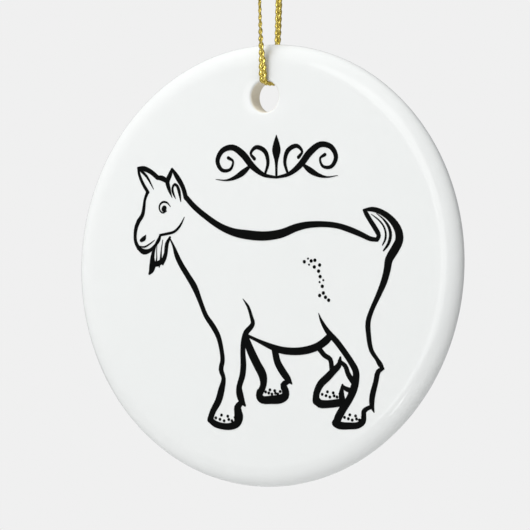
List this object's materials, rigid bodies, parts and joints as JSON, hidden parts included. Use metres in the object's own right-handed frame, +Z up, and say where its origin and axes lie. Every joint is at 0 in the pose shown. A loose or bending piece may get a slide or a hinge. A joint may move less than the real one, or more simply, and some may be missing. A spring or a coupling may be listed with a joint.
{
  "type": "hanging ornament",
  "caption": "Round glazed ceramic hanging ornament printed with a line drawing of a standing goat, on a knotted loop of flat gold metallic braid.",
  "frame": {"origin": "where the inside of the cord loop bears on its hook, just under the knot", "axes": "+Z up along the hanging cord; the printed face looks along -Y; +X is to the right of someone who faces the print"},
  "size_m": [0.073, 0.0072, 0.135],
  "materials": {
    "glazed_ceramic": "white gloss glaze",
    "black_ink": "black print fired into the gloss coat",
    "gold_braid": "metallic gold yarn, braided flat"
  },
  "bodies": {
    "hanging_loop": {"cord_knot": "gold_braid", "cord_tail_left": "gold_braid", "cord_tail_right": "gold_braid", "cord_front_strand": "gold_braid", "cord_back_strand": "gold_braid"},
    "lower_cord": {"cord_bight": "gold_braid"},
    "ornament": {"ceramic_disc": "glazed_ceramic", "printed_goat": "black_ink", "printed_eye": "black_ink", "printed_nostril": "black_ink", "printed_ear_fold": "black_ink", "printed_long_lock": "black_ink", "printed_short_lock": "black_ink", "printed_scroll": "black_ink"}
  },
  "joints": [
    {"name": "cord_twist", "type": "hinge", "parent": "hanging_loop", "child": "lower_cord", "pos_m": [0, 0, 0], "axis": [0, 0, 1], "range_deg": [-180, 180], "deforming": ["cord_front_strand", "cord_back_strand"]},
    {"name": "disc_swing", "type": "hinge", "parent": "lower_cord", "child": "ornament", "pos_m": [0, 0, -0.0552], "axis": [0, 1, 0], "range_deg": [-90, 90]}
  ]
}
